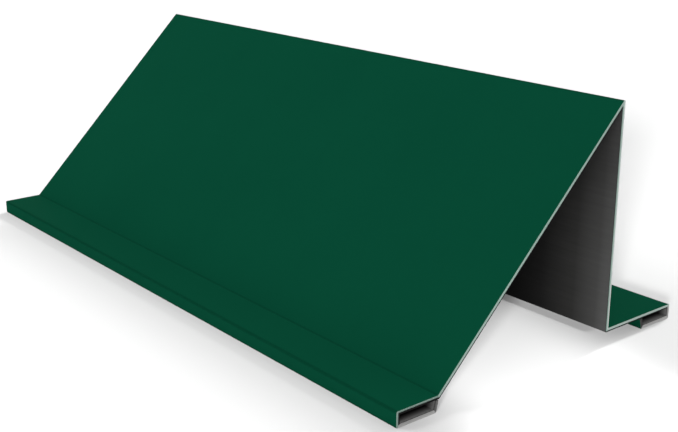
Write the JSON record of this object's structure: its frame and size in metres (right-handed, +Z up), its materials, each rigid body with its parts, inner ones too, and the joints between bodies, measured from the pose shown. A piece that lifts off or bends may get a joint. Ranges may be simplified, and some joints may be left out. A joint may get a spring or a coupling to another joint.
{
  "type": "snow guard",
  "caption": "Folded sheet snow guard with a sloped face, an upright back and hemmed feet that lie on the roof.",
  "frame": {"origin": "middle of the floor rectangle under the guard", "axes": "+X along the folds, -Y towards the foot of the sloped face, +Y towards the rear foot, +Z up off the roof"},
  "size_m": [0.2226, 0.1076, 0.0689],
  "materials": {
    "coated_sheet": "dark green polymer coat outside, grey back coat inside, bare cut edges"
  },
  "bodies": {
    "root": {"guard_profile": "coated_sheet"}
  },
  "joints": []
}
